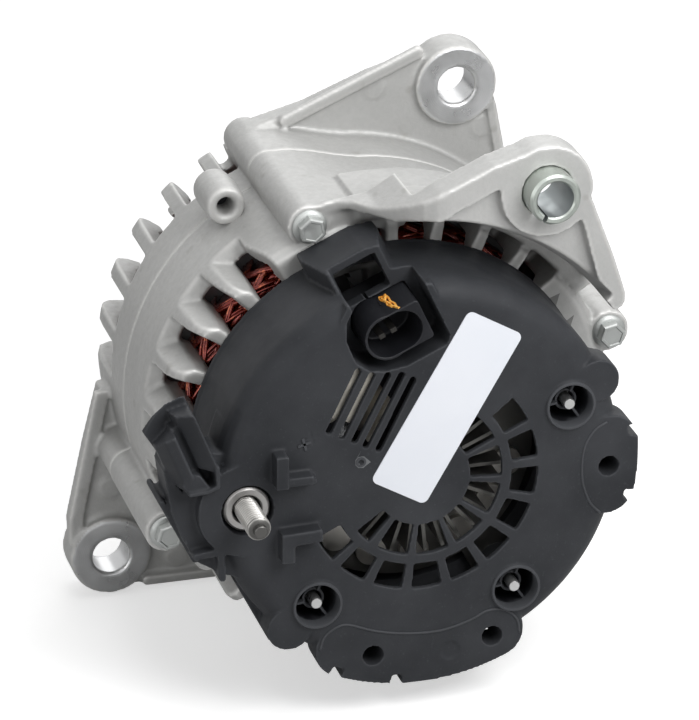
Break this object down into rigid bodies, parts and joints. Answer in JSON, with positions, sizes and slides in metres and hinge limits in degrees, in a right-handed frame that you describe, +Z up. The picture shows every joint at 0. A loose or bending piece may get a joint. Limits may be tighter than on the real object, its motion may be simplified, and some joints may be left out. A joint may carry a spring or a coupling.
{
  "type": "automotive alternator",
  "caption": "Alternator with ribbed cast brackets, round black rear cover, mounting lugs, belt pulley, output stud and plug socket; its rotor turns and it makes current for a vehicle.",
  "frame": {"origin": "on the shaft axis, in the middle plane of the pulley's belt grooves", "axes": "+Y along the shaft toward the pulley end, -Y toward the rear cover, +Z up, +X to the right as seen from the rear"},
  "size_m": [0.1766, 0.196, 0.191],
  "materials": {
    "cast_aluminium": "fine cast skin",
    "turned_aluminium": "machined",
    "black_plastic": "moulded, glass filled",
    "deep_black_plastic": "moulded",
    "cream_plastic": "moulded",
    "resin_red": "moulded",
    "label_white": "satin film",
    "zinc_steel": "zinc plated",
    "bush_steel": "zinc plated, pale green tint",
    "bearing_steel": "ground",
    "rotor_steel": "forged and turned",
    "core_steel": "stacked sheet with varnish",
    "sheet_steel": "pressed sheet",
    "pulley_steel": "turned, black oxide",
    "copper_enamel": "enamelled copper wire",
    "copper_bare": "bare copper",
    "tinned": "tinned",
    "carbon": "graphite and copper"
  },
  "bodies": {
    "housing": {"front_bracket": "cast_aluminium", "rear_bracket": "cast_aluminium", "stator_core": "core_steel", "slot_copper": "copper_enamel", "winding_front": "copper_enamel", "winding_rear": "copper_enamel", "stator_leads": "copper_enamel", "through_bolts": "zinc_steel", "tube_plug": "deep_black_plastic", "rear_cover": "black_plastic", "label": "label_white", "cover_studs": "zinc_steel", "rectifier_negative": "turned_aluminium", "rectifier_positive": "turned_aluminium", "rectifier_insulator": "black_plastic", "rectifier_diodes": "tinned", "output_stud": "zinc_steel", "output_collar": "tinned", "regulator_body": "deep_black_plastic", "regulator_fins": "turned_aluminium", "connector_shell": "deep_black_plastic", "connector_pins": "tinned", "brush_holder": "deep_black_plastic", "spring_front": "bearing_steel", "spring_rear": "bearing_steel", "front_bearing_outer": "bearing_steel", "bearing_plate": "sheet_steel", "bearing_screws": "zinc_steel", "rear_bearing_sleeve": "cream_plastic", "rear_bearing_outer": "bearing_steel"},
    "rotor": {"shaft": "bearing_steel", "claw_front": "rotor_steel", "claw_rear": "rotor_steel", "coil_bobbin": "cream_plastic", "field_coil": "copper_enamel", "fan_front": "sheet_steel", "fan_rear": "sheet_steel", "slip_ring_sleeve": "resin_red", "slip_rings": "copper_bare", "spacer": "bearing_steel", "pulley": "pulley_steel", "pulley_nut": "zinc_steel", "front_bearing_inner": "bearing_steel", "rear_bearing_inner": "bearing_steel"},
    "front_balls": {"front_bearing_balls": "bearing_steel", "front_bearing_cage": "sheet_steel"},
    "rear_balls": {"rear_bearing_balls": "bearing_steel", "rear_bearing_cage": "sheet_steel"},
    "front_brush": {"brush_front": "carbon"},
    "rear_brush": {"brush_rear": "carbon"},
    "bush": {"lug_bush": "bush_steel"}
  },
  "joints": [
    {"name": "rotor_spin", "type": "hinge", "parent": "housing", "child": "rotor", "pos_m": [0, 0, 0], "axis": [0, 1, 0], "continuous": true},
    {"name": "front_balls_roll", "type": "hinge", "parent": "housing", "child": "front_balls", "pos_m": [0, -0.0254, 0], "axis": [0, 1, 0], "continuous": true},
    {"name": "rear_balls_roll", "type": "hinge", "parent": "housing", "child": "rear_balls", "pos_m": [0, -0.1095, 0], "axis": [0, 1, 0], "continuous": true},
    {"name": "front_brush_slide", "type": "slide", "parent": "housing", "child": "front_brush", "axis": [0, 0, 1], "range_m": [0, 0.005], "stiffness_N_per_m": 250, "springref_m": -0.012, "deforming": ["spring_front"]},
    {"name": "rear_brush_slide", "type": "slide", "parent": "housing", "child": "rear_brush", "axis": [0, 0, 1], "range_m": [0, 0.005], "stiffness_N_per_m": 250, "springref_m": -0.012, "deforming": ["spring_rear"]},
    {"name": "bush_slide", "type": "slide", "parent": "housing", "child": "bush", "axis": [0, 1, 0], "range_m": [-0.002, 0.006]}
  ],
  "couplings": [
    {"joint": "front_balls_roll", "follows": "rotor_spin", "ratio": 0.3641},
    {"joint": "rear_balls_roll", "follows": "rotor_spin", "ratio": 0.3808}
  ]
}
